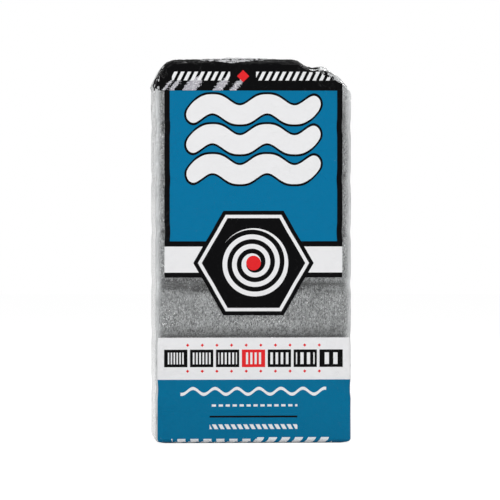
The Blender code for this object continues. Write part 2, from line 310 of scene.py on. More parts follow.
def rolled_strip(name, roll):
    """Extrude one row of the strip along the whole roll, then give it its thickness."""
    first, second = (Vector((0, *point)) for point in roll.line[:2])
    bpy.ops.mesh.primitive_grid_add(x_subdivisions=STRIP_COLUMNS, y_subdivisions=1, size=1)
    strip = bpy.context.object
    strip.name = name
    bpy.ops.object.mode_set(mode="EDIT")
    bpy.ops.transform.resize(value=(roll.length, (second - first).length, 1))
    bpy.ops.transform.translate(value=(first + second) / 2)
    select_only(strip, "EDGE", lambda edge: all(vert.co.y > second.y - 1e-6 for vert in edge.verts))
    for here, there in zip(roll.line[1:], roll.line[2:]):
        step = Vector((0, *(there - here)))
        bpy.ops.mesh.extrude_region_move(TRANSFORM_OT_translate={"value": step})
    bpy.ops.mesh.select_all(action="SELECT")
    bpy.ops.mesh.normals_make_consistent(inside=False)
    bpy.ops.object.mode_set(mode="OBJECT")
    travel = strip.data.attributes.new("travel", "FLOAT", "POINT")
    lines = np.array([vert.co[:] for vert in strip.data.vertices])
    spots = lines[:, None, 1:] - roll.line[None, :, :]
    nearest = np.argmin((spots ** 2).sum(axis=2), axis=1)
    travel.data.foreach_set("value", roll.along[nearest].astype(np.float32))
    finish_modifier(strip, "thickness", "SOLIDIFY", thickness=roll.thickness, offset=0, use_even_offset=True)
    finish_modifier(strip, "soft_edges", "BEVEL", width=STRIP_EDGE_ROUNDING, segments=2,
                    limit_method="ANGLE", angle_limit=math.radians(60))
    return strip


def vertex_places(mesh):
    places = np.empty(len(mesh.vertices) * 3)
    mesh.vertices.foreach_get("co", places)
    return places.reshape(-1, 3)


def set_vertex_places(mesh, places):
    mesh.vertices.foreach_set("co", places.ravel())
    mesh.update()


def sampled(function, places, size, offset=(0.0, 0.0, 0.0)):
    """A noise function read at each place, at a pattern size and offset."""
    start = Vector(offset)
    return np.array([function(Vector(place) / size + start) for place in places])


def store_vectors(mesh, name, rows):
    """Keep three numbers for each vertex, for the materials to read."""
    stored = mesh.attributes.new(name, "FLOAT_VECTOR", "POINT")
    stored.data.foreach_set("vector", rows.astype(np.float32).ravel())


def mark_strip_place(strip, roll):
    """Keep each vertex's place along, across and off the strip, for the fibres' pattern."""
    mesh = strip.data
    places = vertex_places(mesh)
    along = np.empty(len(mesh.vertices), np.float32)
    mesh.attributes["travel"].data.foreach_get("value", along)
    middle = roll.place(along, places[:, 0], np.zeros(len(places)))
    outward = roll.place(along, places[:, 0], np.ones(len(places))) - middle
    off = ((places - middle) * outward).sum(axis=1)
    marks = np.stack([along, places[:, 0], off], axis=1)
    mesh.attributes.remove(mesh.attributes["travel"])
    store_vectors(mesh, STRIP_ATTRIBUTE, marks)
    return marks


def ramp(start, end, values):
    """Rise smoothly from 0 at start to 1 at end."""
    share = np.clip((values - start) / (end - start), 0, 1)
    return share * share * (3 - 2 * share)


def roughen(places, marks, shift):
    """Press lumps and dents into a pad, and fray the edges of its strip, all inwards."""
    world = places + shift
    lumps = 0.5 + 0.5 * sampled(noise.noise, world, LUMP_SIZE)
    fine = 0.5 + 0.5 * sampled(noise.noise, world, LUMP_SIZE / 3, (7.0, 0.0, 0.0))
    from_middle = np.abs(places) / np.abs(places).max(axis=0)
    past_edge = np.clip(from_middle - DENTED_EDGE, 0, 1)
    dents = np.clip(sampled(noise.noise, world, DENT_SIZE, (0.0, 5.0, 0.0)) * 2, 0, 1)
    dents = DENT_DEPTH * dents * past_edge[:, 1] * past_edge[:, 2] * 8
    end_apart = 40 * np.sign(places[:, 0])
    pad_apart = shift[2] * 90 + shift[1] * 70
    fray = 0.5 + 0.5 * np.array([
        noise.noise(Vector((along * FRAY_ALONG + end, off * FRAY_OFF, pad_apart)))
        for along, off, end in zip(marks[:, 0], marks[:, 2], end_apart)])
    inwards = np.stack([
        np.clip((from_middle[:, 0] - 0.9) / 0.1, 0, 1) * fray * FRAY_DEPTH,
        from_middle[:, 1] ** 3 * (LUMP_DEPTH * (0.7 * lumps + 0.3 * fine) + dents),
        dents], axis=1)
    return places - np.sign(places) * inwards


def crevices(places, shift, half, row):
    """Painted shade in patches in the gap between two rows, and painted light on the wool beside the gap."""
    from_middle = np.abs(places) / half
    below, above = (SEAM_PAINTED_SHADES[seam] if 0 <= seam < len(SEAM_PAINTED_SHADES) else 1.0 for seam in (row - 2, row - 1))
    patches = ramp(-0.02, 0.16, sampled(noise.noise, places + shift, CREVICE_PATCH, (3.0, 0.0, 0.0)))
    shade = ramp(*CREVICE_EDGE, from_middle[:, 2]) * patches * np.where(places[:, 2] > 0, above, below)
    return ramp(*FACE_EDGE, from_middle[:, 1]) * (shade - GAP_PAINTED_LIGHT * ramp(*PAINTED_LIGHT_EDGE, from_middle[:, 2]))


pad_low, pad_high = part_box("pad_front_1")
pad_size = pad_high - pad_low - Vector((2, 2, 0)) * FUZZ_DEPTH
top_low, top_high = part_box(f"pad_front_{PAD_ROWS}")
top_size = top_high - top_low - Vector((2, 2, 0)) * FUZZ_DEPTH
full_roll = Roll(pad_size.x, pad_size.y, pad_size.z)
top_roll = Roll(top_size.x, top_size.y, top_size.z)
full_strip = rolled_strip("full_strip", full_roll)
top_strip = rolled_strip("top_strip", top_roll)


# Loose strands
# Single fibres and small tufts lie on the smooth side of each pad and along the turns at its ends.
# One strand is drawn from a three-sided rod with pointed ends, and its copies are laid on the roll.
STRAND_RINGS = 4
FACE_STRANDS = 1500
END_STRANDS = 260
STRAND_LENGTHS = (0.003, 0.010)
STRAND_RADII = (0.00008, 0.00020)
STRAND_SPREAD = math.radians(52)
STRAND_WAVE = 0.0009
STRAND_WAVE_LENGTH = 0.004
STRAND_TONE = 0.17
STRAND_TAPER = 0.86
STRAND_MARGIN = 0.0015
STRIP_END_MARGIN = 0.004
STRIP_TIP = 0.001
STRAND_SINK = 0.00005
SMOOTH_SIDE_LENGTH = 0.062
SMOOTH_SIDE_END = 0.012
LAYER_SHARE = 0.46


def strand_shape():
    """Vertices and faces of one straight strand, one long and one thick, lying along X."""
    bpy.ops.mesh.primitive_cylinder_add(vertices=3, radius=1, depth=1, end_fill_type="TRIFAN")
    rod = bpy.context.object
    bpy.ops.object.mode_set(mode="EDIT")
    bpy.ops.transform.rotate(value=math.pi / 2, orient_axis="Y", center_override=(0, 0, 0))
    for ring in range(1, STRAND_RINGS - 1):
        bpy.ops.mesh.select_all(action="SELECT")
        level = ring / (STRAND_RINGS - 1) - 0.5
        bpy.ops.mesh.bisect(plane_co=(level, 0, 0), plane_no=(1, 0, 0))
    bpy.ops.mesh.select_all(action="SELECT")
    bpy.ops.mesh.normals_make_consistent(inside=False)
    bpy.ops.object.mode_set(mode="OBJECT")
    places = vertex_places(rod.data)
    tip = np.hypot(places[:, 1], places[:, 2]) < 0.01
    places[:, 0] *= np.where(tip, 1.0, STRAND_TAPER)
    faces = [list(face.vertices) for face in rod.data.polygons]
    bpy.data.objects.remove(rod)
    return places, faces


def lay_strands(roll, count, chance, on_end):
    """Copies of the strand laid on a roll's smooth side, or on one of its ends (-1 or 1)."""
    shape, faces = strand_form
    length = chance.uniform(*STRAND_LENGTHS, count)[:, None]
    radius = chance.uniform(*STRAND_RADII, count)[:, None]
    turned = chance.normal(0, STRAND_SPREAD, count)[:, None]
    wave = chance.normal(0, STRAND_WAVE, count)[:, None]
    phase = chance.uniform(0, 2 * math.pi, count)[:, None]
    lift = chance.uniform(0.1, 0.9, count)[:, None] * FUZZ_DEPTH
    run = shape[None, :, 0] * length
    side = shape[None, :, 1] * radius + wave * np.sin(run / STRAND_WAVE_LENGTH + phase)
    rise = shape[None, :, 2] * radius + lift
    along = run * np.cos(turned) - side * np.sin(turned)
    across = run * np.sin(turned) + side * np.cos(turned)
    if on_end:
        start = chance.uniform(STRIP_END_MARGIN, roll.total - STRIP_END_MARGIN, count)[:, None]
        off = chance.uniform(-0.42, 0.42, count)[:, None] * roll.thickness
        along = np.clip(start + along, STRIP_TIP, roll.total - STRIP_TIP)
        deep = np.clip(off + across * 0.4, -LAYER_SHARE * roll.thickness, LAYER_SHARE * roll.thickness)
        across = on_end * (roll.length / 2 - FUZZ_DEPTH + rise)
    else:
        smooth_start = roll.total - SMOOTH_SIDE_LENGTH
        start = chance.uniform(smooth_start, roll.total - SMOOTH_SIDE_END, count)[:, None]
        margin = roll.length / 2 - STRAND_MARGIN
        along = np.clip(start + along, smooth_start - STRIP_END_MARGIN, roll.total - STRIP_TIP)
        across = np.clip(chance.uniform(-margin, margin, count)[:, None] + across, -margin, margin)
        deep = -(roll.thickness / 2 - STRAND_SINK + rise)
    places = roll.place(along.ravel(), across.ravel(), deep.ravel())
    marks = np.stack([along.ravel(), across.ravel(), (deep + phase * 0.01).ravel()], axis=1)
    copies = np.arange(count) * len(shape)
    ids = [[corner + start for corner in face] for start in copies for face in faces]
    return places, marks, ids


def strands_for(roll, seed):
    """All the loose strands of one pad, as one mesh, and how pale or dark each of them is."""
    chance = np.random.default_rng(seed)
    places, marks, faces = [], [], []
    used = 0
    for count, on_end in ((FACE_STRANDS, 0), (END_STRANDS, -1), (END_STRANDS, 1)):
        laid, laid_marks, laid_faces = lay_strands(roll, count, chance, on_end)
        places.append(laid)
        marks.append(laid_marks)
        faces += [[corner + used for corner in face] for face in laid_faces]
        used += len(laid)
    mesh = bpy.data.meshes.new("strands")
    mesh.from_pydata(np.concatenate(places).tolist(), [], faces)
    store_vectors(mesh, STRIP_ATTRIBUTE, np.concatenate(marks))
    tones = np.repeat(chance.normal(0, STRAND_TONE, used // len(strand_form[0])), len(strand_form[0]))
    return mesh, tones


strand_form = strand_shape()
strip_marks = {}
for strip, roll in ((full_strip, full_roll), (top_strip, top_roll)):
    strip_marks[strip.name] = mark_strip_place(strip, roll)


def add_pad(node, strip, roll, row, faces_back, seed):
    """One pad in the place of its solid: its strip, roughened, with its own loose strands."""
    low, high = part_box(node)
    centre = np.array((low + high) / 2)
    turn = np.array((-1, -1, 1) if faces_back else (1, 1, 1))
    pad = strip.copy()
    pad.data = strip.data.copy()
    pad.name = node.replace("pad", "wool_pad")
    bpy.context.collection.objects.link(pad)
    strands, tones = strands_for(roll, seed)
    loose = bpy.data.objects.new("strands", strands)
    bpy.context.collection.objects.link(loose)
    bpy.ops.object.select_all(action="DESELECT")
    loose.select_set(True)
    pad.select_set(True)
    bpy.context.view_layer.objects.active = pad
    base = vertex_places(pad.data)
    half = np.array((high - low) / 2)
    for mesh, tone in ((pad.data, 0.0), (strands, tones)):
        # Painted shade at the gaps between rows and painted light beside them, with each strand's random
        # tone.
        shade = crevices(vertex_places(mesh) * turn, centre, half, row)
        store_vectors(mesh, CREVICE_ATTRIBUTE, np.stack([shade, shade * 0 + tone, shade * 0], axis=1))
    set_vertex_places(pad.data, roughen(base, strip_marks[strip.name], centre))
    bpy.ops.object.join()
    set_vertex_places(pad.data, vertex_places(pad.data) * turn + centre)
    pad.data.shade_smooth()
    pad.data.materials.clear()
    pad.data.materials.append(wool)
    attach(pad, "root")
    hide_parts(node)


for row in range(1, PAD_ROWS + 1):
    in_top_row = row == PAD_ROWS
    strip, roll = (top_strip, top_roll) if in_top_row else (full_strip, full_roll)
    add_pad(f"pad_front_{row}", strip, roll, row, False, 100 + row)
    add_pad(f"pad_back_{row}", strip, roll, row, True, 200 + row)
bpy.data.objects.remove(full_strip)
bpy.data.objects.remove(top_strip)


# Printed film
# One sheet of clear polyethylene, printed on its front, drawn round the pads, lapped in a seam down the
# back and folded over both ends: side tucks first, then the back flap, then the front flap over both.
FILM_THICKNESS = 0.0002
PAD_GAP = 0.0003
PAD_END_GAP = 0.00065
FOLD_STEP = 0.0004
SIDE_CORNER_RADIUS = 0.0023
END_EDGE_RADIUS = 0.0019
FLAP_OVERLAP = 0.010
FLAP_SETTLE = (0.0008, 0.0060)
SEAM_WIDTH = 0.012
SEAM_SETTLE = 0.004
HEADROOM = 0.0056
GATHER_DEPTH = 0.0116
FILM_COLUMNS = 9
FILM_DEPTHS = (-0.0235, -0.0120, 0.0, FLAP_OVERLAP, 0.0225)
FILM_FINENESS = 3
END_BAND = 0.0004
BACK_BAND = 0.0005
PRINT_MAP = "flat_film"
CREASE_MARK = "crease_mark"

half_width = pad_high.x + PAD_END_GAP + FILM_THICKNESS
half_depth = -pad_low.y + PAD_GAP + FILM_THICKNESS
base_level = 2 * FOLD_STEP
top_level = top_high.z + HEADROOM
row_seams = [(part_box(f"pad_front_{row}")[1].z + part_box(f"pad_front_{row + 1}")[0].z) / 2
             for row in range(1, PAD_ROWS)]


def cut_plane(point, normal):
    """In edit mode, add a line of edges where a plane crosses the selected faces."""
    bpy.ops.mesh.bisect(plane_co=point, plane_no=normal)


def film_cage():
    """The brick that the film is drawn round, cut along its folds and into even fields."""
    height = top_level - base_level
    bpy.ops.mesh.primitive_cube_add(size=1)
    cage = bpy.context.object
    cage.name = "film_wrap"
    bpy.ops.object.mode_set(mode="EDIT")
    bpy.ops.transform.resize(value=(2 * half_width, 2 * half_depth, height))
    bpy.ops.transform.translate(value=(0, 0, base_level + height / 2))
    select_only(cage, "EDGE", lambda edge: abs(edge.verts[0].co.z - edge.verts[1].co.z) > height / 2)
    bpy.ops.mesh.bevel(offset=SIDE_CORNER_RADIUS, segments=1, affect="EDGES")
    for level in (base_level, top_level):
        select_only(cage, "EDGE", lambda edge: all(abs(vert.co.z - level) < 1e-5 for vert in edge.verts))
        bpy.ops.mesh.bevel(offset=END_EDGE_RADIUS, segments=1, affect="EDGES")
    levels = [base_level, *row_seams, top_high.z]
    middles = [(low + high) / 2 for low, high in zip(levels, levels[1:])]
    for level in (*row_seams, *middles, top_level - GATHER_DEPTH):
        bpy.ops.mesh.select_all(action="SELECT")
        cut_plane((0, 0, level), (0, 0, 1))
    for column in range(1, FILM_COLUMNS):
        bpy.ops.mesh.select_all(action="SELECT")
        cut_plane(((2 * column / FILM_COLUMNS - 1) * half_width, 0, 0), (1, 0, 0))
    for depth in FILM_DEPTHS:
        bpy.ops.mesh.select_all(action="SELECT")
        cut_plane((0, depth, 0), (0, 1, 0))
    for end in (-1, 1):
        for along, reach in ((-1, FLAP_OVERLAP), (1, 0.0)):
            for across in (-1, 1):
                select_only(cage, "FACE", lambda face: (
                    face.normal.z * end > 0.96 and across * face.calc_center_median().x > 0
                    and -along * face.calc_center_median().y < reach))
                cut_plane((across * half_width, along * half_depth, 0), (across, -along, 0))
    for side in (-1, 1):
        select_only(cage, "FACE", lambda face: face.normal.y > 0.99)
        cut_plane((side * SEAM_WIDTH / 2, 0, 0), (1, 0, 0))
    bpy.ops.object.mode_set(mode="OBJECT")
    finish_modifier(cage, "even_mesh", "SUBSURF", subdivision_type="SIMPLE",
                    levels=FILM_FINENESS, render_levels=FILM_FINENESS)
    return cage


def round_edges(mesh):
    """Turn the flat chamfers into round edges, as film drawn over a corner."""
    places = vertex_places(mesh)
    middle = np.array((0, 0, (base_level + top_level) / 2))
    half = np.array((half_width, half_depth, (top_level - base_level) / 2))
    inner = np.clip(places - middle, END_EDGE_RADIUS - half, half - END_EDGE_RADIUS)
    away = places - middle - inner
    reach = np.linalg.norm(away, axis=1)
    places = middle + inner + away / np.maximum(reach, 1e-9)[:, None] * END_EDGE_RADIUS
    set_vertex_places(mesh, places)


def on_flap(centre, end, side, free_edge):
    """True on the part of an end that a flap from the front (-1) or the back (1) covers."""
    from_fold = half_depth - side * centre.y
    level = top_level if end > 0 else base_level
    return (end * (centre.z - level) > -1e-5 and abs(centre.x) < half_width - from_fold
            and from_fold < half_depth + free_edge)


def fold_ends_and_seam(film):
    """Lift the back flap, then the front flap over it, at both ends, and the lap down the back."""
    bpy.ops.object.mode_set(mode="EDIT")
    for end in (-1, 1):
        lift = {"value": (0, 0, end * FOLD_STEP)}
        select_only(film, "FACE", lambda face: on_flap(face.calc_center_median(), end, -1, FLAP_OVERLAP)
                    or on_flap(face.calc_center_median(), end, 1, 0.0))
        bpy.ops.mesh.extrude_region_move(TRANSFORM_OT_translate=lift)
        select_only(film, "FACE", lambda face: (
            on_flap(face.calc_center_median(), end, -1, FLAP_OVERLAP) and abs(face.normal.z) > 0.5))
        bpy.ops.mesh.extrude_region_move(TRANSFORM_OT_translate=lift)
    select_only(film, "FACE", lambda face: (
        face.normal.y > 0.99 and abs(face.calc_center_median().x) < SEAM_WIDTH / 2
        and face.calc_center_median().y > half_depth - 1e-5))
    bpy.ops.mesh.extrude_region_move(TRANSFORM_OT_translate={"value": (0, FOLD_STEP, 0)})
    bpy.ops.object.mode_set(mode="OBJECT")


def settle_layers(film):
    """Let each lifted layer run down into the fold that it comes from."""
    places = vertex_places(film.data)
    for end, level in ((-1, base_level), (1, top_level)):
        lift = end * (places[:, 2] - level)
        above = lift > 1e-5
        settled = lift * ramp(*FLAP_SETTLE, half_depth - np.abs(places[:, 1]))
        places[above, 2] = level + end * settled[above]
    lapped = places[:, 1] > half_depth + 1e-5
    rise = ramp(-SEAM_WIDTH / 2, -SEAM_WIDTH / 6, places[:, 0])
    for level, inside in ((base_level, SEAM_SETTLE), (top_level, -SEAM_SETTLE)):
        rise *= ramp(level, level + inside, places[:, 2])
    places[lapped, 1] = half_depth + ((places[:, 1] - half_depth) * rise)[lapped]
    set_vertex_places(film.data, places)
    bpy.ops.object.mode_set(mode="EDIT")
    bpy.ops.mesh.select_all(action="SELECT")
    bpy.ops.mesh.remove_doubles(threshold=0.00003)
    bpy.ops.object.mode_set(mode="OBJECT")


# The film is gathered over the top row: it stands in a long crest with a round left shoulder and a
# crumpled right one, and its walls lie in slanting pleats under the top edge.
CREST_RISE = 0.005
CREST_BACK_FALL = 0.0015
CREST_LEFT_RAMP = 0.010
CREST_RIGHT = (0.0210, 0.0345)
LEFT_DROP = 0.0060
LEFT_DROP_LENGTH = 0.006
SECOND_CREST = (0.0014, 0.03685, 0.0035)
SHOULDER_DROP = 0.0110
SHOULDER_START = 0.03985
SHOULDER_CURVE = 1.65
SHOULDER_DEPTH = 0.0220
PLEAT_PITCH = 0.0090
PLEAT_LEAN = 0.45
PLEAT_HEIGHT = 0.0008


def crest(x, y):
    """How far the gathered film stands above or below its level on top."""
    from_left = x + half_width
    rise = CREST_RISE * ramp(0, CREST_LEFT_RAMP, from_left)
    rise = rise - LEFT_DROP * np.clip(1 - from_left / LEFT_DROP_LENGTH, 0, 1) ** 2
    rise *= 1 - ramp(*CREST_RIGHT, x)
    height, middle, width = SECOND_CREST
    rise += height * np.exp(-((x - middle) / width) ** 2)
    rise -= CREST_BACK_FALL * (y / half_depth) ** 2
    past = np.clip((x - SHOULDER_START) / (half_width - SHOULDER_START), 0, 1)
    return rise - SHOULDER_DROP * past ** SHOULDER_CURVE


def gathered_rise(places):
    """How far each place on the film rises or sinks with the crest."""
    x, y, z = places.T
    at_shoulder = ramp(SHOULDER_START - 0.008, SHOULDER_START + 0.004, x)
    depth = GATHER_DEPTH + (SHOULDER_DEPTH - GATHER_DEPTH) * at_shoulder
    return crest(x, y) * ramp(top_level - depth, top_level, z)


def pleats(places):
    """How far the gathered walls stand out, in pleats that lean along the pack."""
    x, y, z = places.T
    from_middle = x + np.clip(y, -half_depth, half_depth) - PLEAT_LEAN * (z - top_level)
    ridge = np.abs(2 * (from_middle / PLEAT_PITCH % 1) - 1)
    middle = top_level - GATHER_DEPTH / 2
    return PLEAT_HEIGHT * ridge * (ramp(top_level - GATHER_DEPTH, middle, z) - ramp(middle, top_level, z))


def map_flat_film(film):
    """Store where each corner lies on the flat sheet: metres from the front's middle and above the base."""
    mesh = film.data
    places = vertex_places(mesh)
    layer = mesh.uv_layers.new(name=PRINT_MAP)
    flat = np.zeros((len(mesh.loops), 2))
    for face in mesh.polygons:
        centre = face.center
        at_top = centre.z > top_level - END_BAND
        at_base = centre.z < base_level + END_BAND
        side = 1 if centre.x > 0 else -1
        in_front_flap = abs(centre.x) < half_width - half_depth - centre.y
        in_back_flap = abs(centre.x) < half_width - half_depth + centre.y
        for loop in face.loop_indices:
            x, y, z = places[mesh.loops[loop].vertex_index]
            round_corner = side * (y + half_depth)
            if not at_top and not at_base:
                on_back = centre.y > half_depth - BACK_BAND
                flat[loop] = side * 2 * (half_width + half_depth) - x if on_back else x + round_corner, z
                continue
            if in_front_flap:
                across, turned = x, y + half_depth
            elif in_back_flap:
                across, turned = side * 2 * (half_width + half_depth) - x, half_depth - y
            else:
                across, turned = side * half_width + round_corner, half_width - abs(x)
            flat[loop] = across, top_level + turned if at_top else base_level - turned
    corners = np.empty(len(mesh.loops), int)
    mesh.loops.foreach_get("vertex_index", corners)
    flat[:, 1] += gathered_rise(places)[corners]
    layer.data.foreach_set("uv", flat.astype(np.float32).ravel())


# The film lies tight over the printed front and loose at its corners, over the top row and at its
# right shoulder, where it is gathered and crumpled into flat facets with sharp creases between.
FRONT_PINCH = 0.00025
BACK_PINCH = 0.0009
SIDE_PINCH = 0.00035
ROW_PINCH_REACH = 0.006
FACET_SIZES = ((0.0105, 0.62), (0.0048, 0.38))
FACET_DEPTH = 0.0013
FACET_LEVEL = 0.4
FOLD_LINES = ((0.55, 0.034, 0.0060, 0.5), (-0.75, 0.027, 0.0048, 0.5), (0.12, 0.045, 0.0080, 0.6))
FOLD_HEIGHT = 0.00060
FOLD_SHARPNESS = 5.0
LOOSE_DEPTH = 0.030
FRONT_LOOSENESS = 0.16
BACK_LOOSENESS = 0.75
SIDE_LOOSENESS = 0.90
END_LOOSENESS = 0.80
# Haze near the corners, partly a painted highlight.
CORNER_HAZE_AND_HIGHLIGHT = 0.85
CORNER_REACH = (0.0015, 0.014)
SHOULDER_SPAN = (0.014, 0.040)
FREE_EDGE_RISE = 0.0009
SMOOTH_LEFT_TOP = 0.140


def facets(places, size, offset):
    """Crumpled film: 0 on a crease, rising to 1 in the middle of a facet."""
    start = Vector(offset)
    gaps = []
    for place in places:
        distances, _ = noise.voronoi(Vector(place) / size + start)
        gaps.append(min((distances[1] - distances[0]) * 1.5, 1.0))
    return np.array(gaps)


def fold_ridges(across, up):
    """Long thin folds that run slantwise over the flat sheet, in patches: 0 between them, 1 on a ridge."""
    ridges = np.zeros(len(across))
    for slant, long, short, share in FOLD_LINES:
        run = across * math.cos(slant) + up * math.sin(slant)
        side = up * math.cos(slant) - across * math.sin(slant)
        spots = np.stack([run / long, side / short, np.full(len(run), 10 * slant)], axis=1)
        bent = spots + 0.35 * sampled(noise.noise, spots, 0.9, (5.0, 0.0, 0.0))[:, None]
        line = 1 - np.clip(np.abs(sampled(noise.noise, bent, 1.0)) * FOLD_SHARPNESS, 0, 1)
        stretched = spots * np.array((1.0, 0.25, 1.0))
        patch = ramp(-0.15, 0.35, sampled(noise.noise, stretched, 1.4, (0.0, 8.0, 0.0)))
        ridges = np.maximum(ridges, share * line * patch * 2)
    return np.clip(ridges, 0, 1)


def flat_places(film):
    """Each vertex's place on the flat sheet, from the corners that meet there."""
    mesh = film.data
    corners = np.empty(len(mesh.loops), int)
    mesh.loops.foreach_get("vertex_index", corners)
    flat = np.empty(len(mesh.loops) * 2)
    mesh.uv_layers[PRINT_MAP].data.foreach_get("uv", flat)
    places = np.zeros((len(mesh.vertices), 2))
    places[corners] = flat.reshape(-1, 2)
    return places.T


def facing(direction):
    """1 where the surface faces a way squarely, and 0 where it is turned 60 degrees from it."""
    return ramp(0.5, 0.9, direction)


def film_slack(places, outward):
    """How loose, hazy and crumpled the film is at each place, from 0 to about 1; the haze near the corners is
    partly a painted highlight.
    """
    x, y, z = places.T
    on_front = facing(-outward[:, 1])
    on_side = facing(np.abs(outward[:, 0]))
    to_corner = np.where(np.abs(outward[:, 0]) > 0.7, half_depth - np.abs(y), half_width - np.abs(x))
    near_corner = 1 - ramp(*CORNER_REACH, to_corner)
    gathered = ramp(top_level - LOOSE_DEPTH, top_level, z)
    taut_left = on_side * (x < 0) * (1 - ramp(SMOOTH_LEFT_TOP - 0.012, SMOOTH_LEFT_TOP + 0.004, z))
    loose = FRONT_LOOSENESS * on_front + BACK_LOOSENESS * facing(outward[:, 1])
    loose = loose + END_LOOSENESS * facing(np.abs(outward[:, 2]))
    loose = loose + SIDE_LOOSENESS * on_side * (1 - 0.85 * taut_left)
    loose = np.clip(loose + 0.5 * gathered ** 2 * (1 - 0.8 * on_front), 0, 1) * (1 - 0.75 * near_corner)
    # Near the corners the film is hazier, partly as a painted highlight along them.
    haze_and_corner_highlight = loose + CORNER_HAZE_AND_HIGHLIGHT * near_corner * (0.8 + 0.5 * sampled(noise.noise, places, 0.03))
    haze_and_corner_highlight = haze_and_corner_highlight * (1 - 0.6 * taut_left)
    shoulder = ramp(*SHOULDER_SPAN, x) * ramp(top_level - 0.026, top_level - 0.004, z)
    shoulder = shoulder * (1 - 0.6 * facing(outward[:, 1]))
    crumpled = np.clip(shoulder + 0.35 * gathered ** 4 * (1 - 0.7 * on_front), 0, 1)
    return loose, haze_and_corner_highlight, crumpled


def crumple_film(film):
    """Move the film's vertices into its pinches, crest and creases, and mark how creased it is."""
    mesh = film.data
    places = vertex_places(mesh)
    outward = np.empty(len(places) * 3)
    mesh.vertex_normals.foreach_get("vector", outward)
    outward = outward.reshape(-1, 3)
    _, y, z = places.T
    loose, haze_and_corner_highlight, crumpled = film_slack(places, outward)
    ridges = fold_ridges(*flat_places(film))
    relief = sum(share * facets(places, size, (share * 9, 2.0, size * 100)) for size, share in FACET_SIZES)
    height = FOLD_HEIGHT * loose * ridges + FACET_DEPTH * crumpled * (relief - FACET_LEVEL)
    height += pleats(places) * (1 - facing(np.abs(outward[:, 2])))
    moved = places + outward * height[:, None]
    from_seam = np.min([np.abs(z - seam) for seam in row_seams], axis=0)
    pinch = 1 - ramp(0, ROW_PINCH_REACH, from_seam)
    moved[:, 0] -= places[:, 0] / half_width * SIDE_PINCH * pinch
    moved[:, 1] -= y / half_depth * np.where(y < 0, FRONT_PINCH, BACK_PINCH) * pinch
    moved[:, 2] += gathered_rise(places)
    free_edge = (z > top_level + 1.5 * FOLD_STEP) * ramp(-0.004, FLAP_OVERLAP, y)
    moved[:, 2] += FREE_EDGE_RISE * free_edge
    moved[:, 2] = np.maximum(moved[:, 2], np.where(z < base_level + 1e-4, z, 0.0))
    set_vertex_places(mesh, moved)
    # Whitening on the creases, partly a painted highlight.
    crease_haze_and_highlight = np.clip(ridges * loose + (1 - relief) * crumpled, 0, 1)
    layered = np.clip((z - top_level) / FOLD_STEP, 0, 2) + np.clip((base_level - z) / FOLD_STEP, 0, 2)
    layered += (y > half_depth + 0.5 * FOLD_STEP) * 1.0
    store_vectors(mesh, CREASE_MARK, np.stack([np.clip(haze_and_corner_highlight + crumpled, 0, 1), crease_haze_and_highlight, layered], axis=1))


# The front is printed in black, blue, white and red: a black header over the top edge, a framed blue
# panel with three wavy strands, a hexagon with a roll's turns, a clear window, a row of blocks whose
# strands grow coarser, and a blue foot panel. Places are metres on the flat sheet.
INK_BLACK = (0.0022, 0.0022, 0.0026)
INK_BLUE = (0.0015, 0.163, 0.335)
INK_FOOT_BLUE = (0.0015, 0.150, 0.295)
INK_WHITE = (0.80, 0.80, 0.81)
INK_RED = (0.74, 0.022, 0.026)
FILM_WHITE = (0.84, 0.86, 0.87)
FOOT_TURN = 0.0060
FOOT_SPAN = (-0.0527, 0.0540)
FOOT_TOP = 0.0349
SCALE_TOP = 0.0578
WINDOW_TOP = 0.0906
RULE_TOP = 0.0933
BAND_TOP = 0.1075
PANEL_TOP = 0.1926
PANEL_HALF = 0.0486
FRAME_WIDTH = 0.0029
FIRST_COLOUR_SOCKET = 6
MIXED_COLOUR_SOCKET = 2


def mix_colour(tree, share, first, second):
    """The first colour where share is 0 and the second where it is 1."""
    node = tree.nodes.new("ShaderNodeMix")
    node.data_type = "RGBA"
    tree.links.new(share.socket, node.inputs["Factor"])
    for number, colour in enumerate((first, second), FIRST_COLOUR_SOCKET):
        if isinstance(colour, tuple):
            node.inputs[number].default_value = (*colour, 1)
        else:
            tree.links.new(colour, node.inputs[number])
    return node.outputs[MIXED_COLOUR_SOCKET]


def either(*shares):
    """The greatest of several signals."""
    top = shares[0]
    for share in shares[1:]:
        top = top.calc("MAXIMUM", share)
    return top


def distance(signal, middle):
    """How far a signal is from a middle, either way."""
    return (signal - middle).calc("ABSOLUTE")


class Print:
    """The printed sheet: colours laid over each other, and how much of the film they cover."""

    def __init__(self, tree):
        place = tree.nodes.new("ShaderNodeUVMap")
        place.uv_map = PRINT_MAP
        parts = tree.nodes.new("ShaderNodeSeparateXYZ")
        tree.links.new(place.outputs[0], parts.inputs[0])
        self.tree = tree
        self.across = Signal(tree, parts.outputs[0])
        self.up = Signal(tree, parts.outputs[1])
        self.wide = self.across.calc("ABSOLUTE")
        self.colour = FILM_WHITE
        self.covered = None

    def field(self, half, low, high):
        return self.wide.below(half) * self.up.between(low, high)

    def lay(self, share, ink):
        self.colour = mix_colour(self.tree, share, self.colour, ink)
        self.covered = share if self.covered is None else self.covered.calc("MAXIMUM", share)


def print_fields(sheet):
    """The large fields, from the foot to the top of the framed panel."""
    foot = sheet.across.between(*FOOT_SPAN)
    sheet.lay(foot * sheet.up.between(-FOOT_TURN, FOOT_TOP), INK_FOOT_BLUE)
    sheet.lay(foot * sheet.up.between(FOOT_TOP, SCALE_TOP), INK_WHITE)
    sheet.lay(sheet.field(PANEL_HALF, WINDOW_TOP, RULE_TOP), INK_BLACK)
    sheet.lay(sheet.field(PANEL_HALF, RULE_TOP, BAND_TOP), INK_WHITE)
    sheet.lay(sheet.field(PANEL_HALF, BAND_TOP, PANEL_TOP), INK_BLACK)
    sheet.lay(sheet.field(PANEL_HALF - FRAME_WIDTH, BAND_TOP + FRAME_WIDTH, PANEL_TOP), INK_BLUE)
